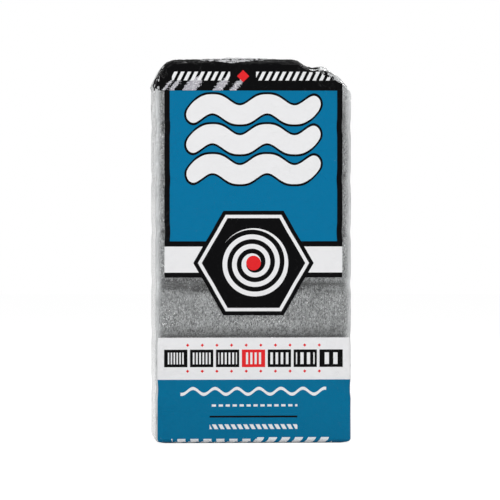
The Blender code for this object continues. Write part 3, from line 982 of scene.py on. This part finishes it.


# The header turns over the top edge and the left corner. Its ink ends in a torn line along the crumpled
# shoulder and is scuffed on the highest part of the crest, and painted highlights lie on the pleats above the
# panel and along the crest's fold.
HEADER_TURN = 0.033
HEADER_LEFT_TURN = 0.026
HEADER_EDGE = 0.2077
HEADER_DIP = (0.0210, 0.0135, 0.0050)
TORN_LINE = 0.2186
TORN_SLANT = 0.45
TORN_DEPTH = 0.008
LEFT_WEAR = (0.0020, 0.41)
TURNED_IN = ((0.0335, 0.0440), (0.1985, 0.2058))
# Grey of the painted highlights on the pleats and along the crest's fold.
PAINTED_GLINT_GREY = (0.38, 0.37, 0.41)
PLEAT_GLINTS = (
    (-0.0470, 0.0010),
    (-0.0430, 0.0013),
    (-0.0335, 0.0038),
    (-0.0180, 0.0026),
    (-0.0095, 0.0018))
PLEAT_GLINT_SLANT = 0.75
PLEAT_GLINT_MIDDLE = 0.1950
PLEAT_GLINT_TOP = 0.1972
PLEAT_GLINT_RAGGEDNESS = 0.0065
INK_SCUFFED = (0.55, 0.55, 0.57)
CREST_EDGE = 0.2081
SCUFF_MIDDLE = -0.0115
SCUFF_HALF = 0.0210
SCUFF_PATCHES = 120.0
SCUFF_EDGE_RAGGED = 0.020
SCUFF_EDGE_CURVE = 0.004
SCUFF_EDGE_SOFT = 0.0010
SCUFF_FADE_START = 0.2110
SCUFF_FADE = 30.0
CREST_FOLD = (-0.0350, -0.0200)
BARS_LEVEL = 0.2004
BARS_HALF_HEIGHT = 0.0024
BARS_PITCH = 0.0037
BARS_SPANS = ((-0.0445, -0.0128), (0.0014, 0.0430))
LOZENGE_MIDDLE = -0.0057
LOZENGE_REACH = 0.0033


def header_field(sheet, wobble):
    """Where the header's black ink lies."""
    dip_start, dip_length, dip_depth = HEADER_DIP
    edge = ((sheet.across - dip_start) / dip_length).clamped() * -dip_depth + HEADER_EDGE
    torn = sheet.across * TORN_SLANT + sheet.up.calc("MINIMUM", edge) + (wobble - 0.5) * TORN_DEPTH
    wear_width, wear_share = LEFT_WEAR
    worn_off = sheet.across.below(wear_width - half_width) * wobble.below(wear_share)
    header = sheet.up.between(PANEL_TOP - 0.0001, top_level + HEADER_TURN) * torn.below(TORN_LINE)
    header = header * sheet.across.between(-half_width - HEADER_LEFT_TURN, PANEL_HALF)
    return header * (worn_off * -1.0 + 1.0)


def print_pleat_glints(sheet, grain, specks):
    """Painted highlights: pale slanting streaks, with white specks, on the pleats above the panel."""
    slant = sheet.across - (sheet.up - PLEAT_GLINT_MIDDLE) * PLEAT_GLINT_SLANT
    nearest = None
    for middle, half in PLEAT_GLINTS:
        outside = distance(slant, middle) - half
        nearest = outside if nearest is None else nearest.calc("MINIMUM", outside)
    past_end = (sheet.up - PLEAT_GLINT_TOP).calc("MAXIMUM", 0.0)
    glint_streaks = (nearest + past_end + (grain - 0.5) * PLEAT_GLINT_RAGGEDNESS).below(0.0) * sheet.up.above(PANEL_TOP)
    sheet.lay(glint_streaks, PAINTED_GLINT_GREY)
    sheet.lay(glint_streaks * specks.above(0.59), INK_WHITE)


def print_scuffed_crest(sheet, flat, grain, wobble):
    """A ragged patch on the crest where ink has come off, thinner towards the back."""
    from_middle = (distance(sheet.across, SCUFF_MIDDLE) / SCUFF_HALF).calc("POWER", 2.0)
    patches = noise_signal(sheet.tree, flat, SCUFF_PATCHES, 2.0) * 2.8 - 0.90
    curve = from_middle * (patches * SCUFF_EDGE_RAGGED + SCUFF_EDGE_CURVE)
    past_edge = (sheet.up - curve - CREST_EDGE) / SCUFF_EDGE_SOFT
    fading = ((sheet.up - SCUFF_FADE_START) * SCUFF_FADE).clamped()
    share = past_edge.clamped() * (patches - from_middle * 0.5 - fading + 0.70).clamped()
    scuffed = (share * 0.40 + grain + wobble).above(1.30) * past_edge.above(0.0)
    sheet.lay(scuffed * sheet.up.below(top_level + HEADER_TURN), INK_SCUFFED)


def print_header(sheet):
    """The header, with slanted bars and a red lozenge, the wear on its ink and painted highlights on its
    pleats and along its fold.
    """
    flat = joined_vector(sheet.tree, sheet.across, sheet.up, sheet.up)
    wobble = noise_signal(sheet.tree, flat, 230.0, 3.0)
    grain = noise_signal(sheet.tree, flat, 900.0, 3.0, roughness=0.7)
    specks = noise_signal(sheet.tree, flat, 1500.0, 1.0)
    header = header_field(sheet, wobble)
    turned_across, turned_up = TURNED_IN
    turned_in = sheet.across.between(*turned_across) * sheet.up.between(*turned_up)
    turned_in = turned_in * (wobble + grain * 0.5).above(0.725)
    sheet.lay(either(header, turned_in), INK_BLACK)
    print_pleat_glints(sheet, grain, specks)
    print_scuffed_crest(sheet, flat, grain, wobble)
    rise = sheet.up - BARS_LEVEL
    bars = ((sheet.across - rise * 0.5) / BARS_PITCH).calc("FRACT").below(0.52)
    reach = either(*(sheet.across.between(*span) for span in BARS_SPANS))
    sheet.lay(bars * reach * header * rise.calc("ABSOLUTE").below(BARS_HALF_HEIGHT), INK_WHITE)
    lozenge = distance(sheet.across, LOZENGE_MIDDLE) + rise.calc("ABSOLUTE")
    sheet.lay(lozenge.below(LOZENGE_REACH), INK_RED)
    # A painted highlight: a broken pale line along the crest's fold.
    edge = sheet.up - CREST_EDGE - (grain - 0.5) * 0.0016
    crest_fold_glint = edge.calc("ABSOLUTE").below(0.00028) * sheet.across.between(*CREST_FOLD)
    sheet.lay(crest_fold_glint * specks.above(0.46), PAINTED_GLINT_GREY)


WAVES_MIDDLE = 0.1660
WAVES_PITCH = 0.0163
WAVES_REACH = 0.0315
WAVES_HEIGHT = 0.0030
WAVES_TURNS = 210.0
WAVES_HALF_WIDTH = 0.0052
WAVES_OUTLINE = 0.0012


def print_strands(sheet):
    """Three thick wavy strands with round ends on the blue panel, white in a black outline."""
    turns = sheet.across * WAVES_TURNS
    rows = (sheet.up - WAVES_MIDDLE - turns.calc("SINE") * WAVES_HEIGHT) / WAVES_PITCH
    row = rows.calc("ROUND").calc("MINIMUM", 1.0).calc("MAXIMUM", -1.0)
    slope = turns.calc("COSINE") * (WAVES_TURNS * WAVES_HEIGHT)
    off = (rows - row) * WAVES_PITCH / (slope * slope + 1.0).calc("SQRT")
    past = (sheet.wide - WAVES_REACH).calc("MAXIMUM", 0.0)
    from_line = (off * off + past * past).calc("SQRT")
    sheet.lay(from_line.below(WAVES_HALF_WIDTH + WAVES_OUTLINE), INK_BLACK)
    sheet.lay(from_line.below(WAVES_HALF_WIDTH), INK_WHITE)


BADGE_MIDDLE = 0.0985
BADGE_REACH = 0.0285
BADGE_LINE = (0.0245, 0.0263)
BADGE_TURN_PITCH = 0.0052
BADGE_TURNS_REACH = 0.0190
BADGE_CORE = 0.0040


def print_badge(sheet):
    """A black hexagon with a white line, round the turns of a roll with a red core."""
    up = sheet.up - BADGE_MIDDLE
    tall = up.calc("ABSOLUTE")
    side = (sheet.wide * math.cos(math.pi / 6) + tall * 0.5).calc("MAXIMUM", tall)
    sheet.lay(side.below(BADGE_REACH), INK_BLACK)
    sheet.lay(side.between(*BADGE_LINE), INK_WHITE)
    radius = (sheet.across * sheet.across + up * up).calc("SQRT")
    turn = up.calc("ARCTAN2", sheet.across) / (2 * math.pi)
    stripe = (radius / BADGE_TURN_PITCH - turn).calc("FRACT").between(0.25, 0.75)
    sheet.lay(stripe * radius.below(BADGE_TURNS_REACH), INK_WHITE)
    sheet.lay(radius.below(BADGE_CORE), INK_RED)


SCALE_BLOCKS = 7
SCALE_RED_BLOCK = 3
SCALE_PITCH = 0.01415
SCALE_MIDDLE = 0.0465
SCALE_HALF_HEIGHT = 0.0048
SCALE_LINE_HALF_HEIGHT = 0.0032
SCALE_MOST_LINES = 9
TICK_LEVELS = (0.0395, 0.0537)
TICK_PITCH = 0.0080
TICK_SIZE = 0.0009
TICK_REACH = 0.0400


def print_scale(sheet):
    """A row of blocks whose strands grow coarser, one of them red, with small ticks above and below."""
    place = sheet.across / SCALE_PITCH + SCALE_BLOCKS / 2
    block = place.calc("FLOOR")
    local = place.calc("FRACT") - 0.5
    off_middle = local.calc("ABSOLUTE")
    level = distance(sheet.up, SCALE_MIDDLE)
    inside = place.between(0.0, float(SCALE_BLOCKS)) * level.below(SCALE_HALF_HEIGHT) * off_middle.below(0.45)
    sheet.lay(inside, INK_BLACK)
    sheet.lay(inside * block.between(SCALE_RED_BLOCK - 0.5, SCALE_RED_BLOCK + 0.5), INK_RED)
    line_count = block * -1.0 + SCALE_MOST_LINES
    lines = distance((local * line_count).calc("FRACT"), 0.5).below(0.25)
    marked = off_middle.below(0.36) * level.below(SCALE_LINE_HALF_HEIGHT)
    sheet.lay(inside * lines * marked, INK_WHITE)
    tick = distance((sheet.across / TICK_PITCH).calc("FRACT"), 0.5) * TICK_PITCH
    for tick_level in TICK_LEVELS:
        near = distance(sheet.up, tick_level) + tick
        sheet.lay(near.below(TICK_SIZE) * sheet.wide.below(TICK_REACH), INK_RED)


FINE_STRAND_LEVEL = 0.0285
FINE_STRAND_TURNS = 520.0
FINE_STRAND_HEIGHT = 0.0016
FINE_STRAND_HALF_WIDTH = 0.00085
FINE_STRAND_REACH = 0.0400
FOOT_LINES_REACH = 0.0240
DASH_LINE = (0.0208, 0.0006)
DASH_PITCH = 0.0038
RULE_LINE = (0.0147, 0.0005)
SMALL_BARS_LINE = (0.0092, 0.0013)
SMALL_BARS_PITCH = 0.0034
SMALL_BARS_SLANT = 160.0
CUT_BARS_SPAN = (-0.0450, 0.0430)
CUT_BARS_PITCH = 0.0071
CUT_BARS_SLANT = -60.0
CUT_BARS_TOP = 0.0026
CUT_BARS_STEP = (0.0020, 0.0008)


def slanted_bars(sheet, pitch, slant, share):
    """Bars across the sheet, a share of their pitch wide, that move by slant pitches in a metre of height."""
    return (sheet.across / pitch + sheet.up * slant).calc("FRACT").below(share)


def print_foot(sheet):
    """A fine strand, dashes, a rule and small bars on the foot panel, and bars cut off by the bottom fold."""
    wave = (sheet.across * FINE_STRAND_TURNS).calc("SINE") * FINE_STRAND_HEIGHT
    strand = distance(sheet.up - wave, FINE_STRAND_LEVEL).below(FINE_STRAND_HALF_WIDTH)
    sheet.lay(strand * sheet.wide.below(FINE_STRAND_REACH), INK_WHITE)
    inner = sheet.wide.below(FOOT_LINES_REACH)
    for (level, half_height), ink, gaps in (
            (DASH_LINE, INK_WHITE, (DASH_PITCH, 0.0, 0.60)),
            (RULE_LINE, INK_BLACK, None),
            (SMALL_BARS_LINE, INK_WHITE, (SMALL_BARS_PITCH, SMALL_BARS_SLANT, 0.62))):
        line = distance(sheet.up, level).below(half_height) * inner
        sheet.lay(line * slanted_bars(sheet, *gaps) if gaps else line, ink)
    step_start, step = CUT_BARS_STEP
    top = sheet.across.above(step_start) * step + CUT_BARS_TOP
    cut_off = sheet.up.above(-FOOT_TURN) * (sheet.up - top).below(0.0) * sheet.across.between(*CUT_BARS_SPAN)
    sheet.lay(cut_off * slanted_bars(sheet, CUT_BARS_PITCH, CUT_BARS_SLANT, 0.62), INK_WHITE)


# The film itself is clear and glossy, with fine slanting crease lines where it is loose, a pale haze in its
# creases and round the corners that is partly a painted highlight, a painted sheen where it is seen edge on,
# and flat facets that catch the light.
# Fine crease lines: relief, and whitening that is partly a painted highlight.
CRINKLE_LINES = (
    (0.62, 70.0, 420.0, 1.0),
    (-0.80, 85.0, 500.0, 2.0),
    (0.08, 45.0, 300.0, 3.0),
    (1.25, 90.0, 380.0, 4.0))
CRINKLE_SHARPNESS = 22.0
TILT_SCALES = (150.0, 330.0)
TILT_HEIGHT = 900.0
FILM_RELIEF = 0.0008
FILM_GLOSS = 0.07
FILM_INDEX = 1.45
INK_DULLNESS = 0.88


def crinkle(sheet, slant, along_scale, side_scale, seed):
    """Fine slanting crease lines, in patches: 0 between them, 1 on a line."""
    run = sheet.across * math.cos(slant) + sheet.up * math.sin(slant)
    side = sheet.up * math.cos(slant) - sheet.across * math.sin(slant)
    depth = sheet.across * 0.0 + seed
    spots = joined_vector(sheet.tree, run * along_scale, side * side_scale, depth)
    line = distance(noise_signal(sheet.tree, spots, 1.0, 1.0, distortion=0.5), 0.5)
    patch = noise_signal(sheet.tree, joined_vector(sheet.tree, run * 55.0, side * 80.0, depth), 1.0, 1.0)
    return (line * -CRINKLE_SHARPNESS + 1.0).clamped() * (patch * 6.0 - 2.9).clamped()


def vector_calc(tree, operation, first, second):
    """A vector node for two vectors, the second a socket or three numbers."""
    node = tree.nodes.new("ShaderNodeVectorMath")
    node.operation = operation
    tree.links.new(first, node.inputs[0])
    if isinstance(second, tuple):
        node.inputs[1].default_value = second
    else:
        tree.links.new(second, node.inputs[1])
    return node.outputs


def tilted_facets(tree, place, scale):
    """Height of flat facets, each tilted its own way."""
    cells = tree.nodes.new("ShaderNodeTexVoronoi")
    cells.inputs["Scale"].default_value = scale
    tree.links.new(place, cells.inputs["Vector"])
    from_centre = vector_calc(tree, "SUBTRACT", place, cells.outputs["Position"])[0]
    tilt = vector_calc(tree, "SUBTRACT", cells.outputs["Color"], (0.5, 0.5, 0.5))[0]
    return Signal(tree, vector_calc(tree, "DOT_PRODUCT", from_centre, tilt)["Value"])


def film_haze_and_painted_light(tree, sheet, broad, lines):
    """How pale the clear film is: haze where it is loose and where layers lie on each other, whitening on its
    creases that is partly a painted highlight, a painted highlight along its corners and a painted sheen
    where it is seen edge on.
    """
    looseness_and_corner_highlight, crease_haze_and_highlight, layers = attribute_place(tree, CREASE_MARK)
    to_front_corner = distance(sheet.wide, half_width)
    to_back_corner = distance(sheet.wide, half_width + 2 * half_depth)
    # A painted highlight along the front and back corners, and a painted sheen where the film is seen edge
    # on.
    corner_painted_highlight = (to_front_corner.calc("MINIMUM", to_back_corner) * -300.0 + 1.0).clamped()
    facing_away = tree.nodes.new("ShaderNodeLayerWeight")
    facing_away.inputs["Blend"].default_value = 0.5
    edge_on_painted_sheen = (Signal(tree, facing_away.outputs["Facing"]) * 6.0 - 5.0).clamped()
    # Whitening on the creases and crease lines, partly a painted highlight, and haze where the film is loose
    # or lies in layers.
    haze_and_painted_light = crease_haze_and_highlight * 0.30 + lines * looseness_and_corner_highlight * 0.20 + layers * 0.05 + looseness_and_corner_highlight * broad * 0.10 + 0.015
    return (haze_and_painted_light + corner_painted_highlight * (broad + 0.25) * 0.8 + edge_on_painted_sheen * 0.9).clamped(), looseness_and_corner_highlight


def mix_shaders(tree, share, first, second):
    """The first shader node where share is 0 and the second where it is 1."""
    mixed = tree.nodes.new("ShaderNodeMixShader")
    tree.links.new(share.socket, mixed.inputs[0])
    tree.links.new(first.outputs[0], mixed.inputs[1])
    tree.links.new(second.outputs[0], mixed.inputs[2])
    return mixed


def printed_film_material():
    """Clear film with its haze, painted highlights and painted sheen, and ink, as a dull layer, under one
    gloss with the creases' relief.
    """
    material, tree, output = new_material("printed_film")
    sheet = Print(tree)
    for step in (print_fields, print_header, print_strands, print_badge, print_scale, print_foot):
        step(sheet)
    place = tree.nodes.new("ShaderNodeTexCoord").outputs["Object"]
    broad = noise_signal(tree, place, 60.0, 3.0, distortion=0.4)
    lines = either(*(crinkle(sheet, *line) for line in CRINKLE_LINES))
    haze_and_painted_light, looseness_and_corner_highlight = film_haze_and_painted_light(tree, sheet, broad, lines)
    fine_tilts, finer_tilts = (tilted_facets(tree, place, scale) for scale in TILT_SCALES)
    tilts = (fine_tilts + finer_tilts) * looseness_and_corner_highlight * TILT_HEIGHT
    height = broad * 0.8 + lines * (looseness_and_corner_highlight + 0.12) * 0.5 + tilts
    bump = tree.nodes.new("ShaderNodeBump")
    bump.inputs["Strength"].default_value = 0.5
    bump.inputs["Distance"].default_value = FILM_RELIEF
    tree.links.new(height.socket, bump.inputs["Height"])
    body = tree.nodes.new("ShaderNodeBsdfPrincipled")
    body.inputs["Roughness"].default_value = 0.5
    body.inputs["Specular IOR Level"].default_value = 0.0
    tree.links.new(sheet.colour, body.inputs["Base Color"])
    tree.links.new(bump.outputs[0], body.inputs["Normal"])
    clear = tree.nodes.new("ShaderNodeBsdfTransparent")
    gloss = tree.nodes.new("ShaderNodeBsdfGlossy")
    gloss.inputs["Roughness"].default_value = FILM_GLOSS
    tree.links.new(bump.outputs[0], gloss.inputs["Normal"])
    fresnel = tree.nodes.new("ShaderNodeFresnel")
    fresnel.inputs["IOR"].default_value = FILM_INDEX
    tree.links.new(bump.outputs[0], fresnel.inputs["Normal"])
    covered = either(haze_and_painted_light, sheet.covered)
    shine = Signal(tree, fresnel.outputs[0]) * (sheet.covered * -INK_DULLNESS + 1.0)
    dull = mix_shaders(tree, covered, clear, body)
    tree.links.new(mix_shaders(tree, shine, dull, gloss).outputs[0], output.inputs["Surface"])
    return material


film = film_cage()
round_edges(film.data)
fold_ends_and_seam(film)
settle_layers(film)
map_flat_film(film)
crumple_film(film)
finish_modifier(film, "film_thickness", "SOLIDIFY", thickness=FILM_THICKNESS, offset=-1)
film.data.materials.append(printed_film_material())
film.data.shade_smooth()
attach(film, "root")
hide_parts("film")


# Studio
# A pale floor, a white surround, soft lamps and a camera in front of the pack, a little to its left.
# Floor and surround are white to the camera and to the film's gloss, and light the pack more dimly.
LOOK_AT = Vector((0.0001, 0, 0.1050))
CAMERA_TURN = math.radians(-3.3)
CAMERA_RISE = math.radians(1.0)
CAMERA_DISTANCE = 2.6
FRAME_HEIGHT = 0.2764
SENSOR_WIDTH = 36
FLOOR_SIZE = 6
FLOOR_TONE = (0.9, 0.9, 0.9, 1)
FLOOR_GLOW = 1.37
FLOOR_GLOW_SHARE = 0.6
SURROUND_LIGHT = 0.46
FILM_LAYERS_SEEN = 32


def seen_directly(tree):
    """1 for light on its way to the camera, also by way of gloss or clear film, and 0 for the rest."""
    path = tree.nodes.new("ShaderNodeLightPath")
    rays = ("Is Camera Ray", "Is Glossy Ray", "Is Transmission Ray")
    return either(*(Signal(tree, path.outputs[ray]) for ray in rays))


bpy.ops.mesh.primitive_plane_add(size=FLOOR_SIZE)
floor = bpy.context.object
floor.name = "floor"
material, tree, output = new_material("pale_floor")
diffuse = tree.nodes.new("ShaderNodeBsdfDiffuse")
diffuse.inputs["Color"].default_value = FLOOR_TONE
white = tree.nodes.new("ShaderNodeEmission")
white.inputs["Strength"].default_value = FLOOR_GLOW
mixed = mix_shaders(tree, seen_directly(tree) * FLOOR_GLOW_SHARE, diffuse, white)
tree.links.new(mixed.outputs[0], output.inputs["Surface"])
floor.data.materials.append(material)

world = bpy.data.worlds.new("studio")
bpy.context.scene.world = world
world.use_nodes = True
tree = world.node_tree
tree.nodes.clear()
output = tree.nodes.new("ShaderNodeOutputWorld")
dim = tree.nodes.new("ShaderNodeBackground")
bright = tree.nodes.new("ShaderNodeBackground")
for background, strength in ((dim, SURROUND_LIGHT), (bright, 1.0)):
    background.inputs["Color"].default_value = (1, 1, 1, 1)
    background.inputs["Strength"].default_value = strength
tree.links.new(mix_shaders(tree, seen_directly(tree), dim, bright).outputs[0], output.inputs["Surface"])


def add_lamp(name, place, size, power):
    """A round soft lamp that points at the middle of the pack."""
    data = bpy.data.lights.new(name, "AREA")
    data.shape = "DISK"
    data.size = size
    data.energy = power
    lamp = bpy.data.objects.new(name, data)
    bpy.context.collection.objects.link(lamp)
    lamp.location = place
    lamp.rotation_euler = (LOOK_AT - Vector(place)).to_track_quat("-Z", "Y").to_euler()


add_lamp("key_lamp", (-0.7, -0.9, 0.9), 0.5, 7.2)
add_lamp("fill_lamp", (0.9, -0.8, 0.5), 0.5, 3.2)
add_lamp("top_lamp", (0.1, 0.3, 1.2), 0.6, 3.4)
add_lamp("back_lamp", (0.5, 1.1, 0.8), 0.5, 3.0)

camera_data = bpy.data.cameras.new("camera")
camera_data.sensor_width = SENSOR_WIDTH
camera_data.lens = SENSOR_WIDTH * CAMERA_DISTANCE / FRAME_HEIGHT
camera = bpy.data.objects.new("camera", camera_data)
bpy.context.collection.objects.link(camera)
level_reach = math.cos(CAMERA_RISE)
back = Vector((
    math.sin(CAMERA_TURN) * level_reach,
    -math.cos(CAMERA_TURN) * level_reach,
    math.sin(CAMERA_RISE)))
camera.location = LOOK_AT + back * CAMERA_DISTANCE
camera.rotation_euler = (-back).to_track_quat("-Z", "Y").to_euler()
bpy.context.scene.camera = camera
bpy.context.scene.view_settings.view_transform = "Standard"
bpy.context.scene.cycles.transparent_max_bounces = FILM_LAYERS_SEEN
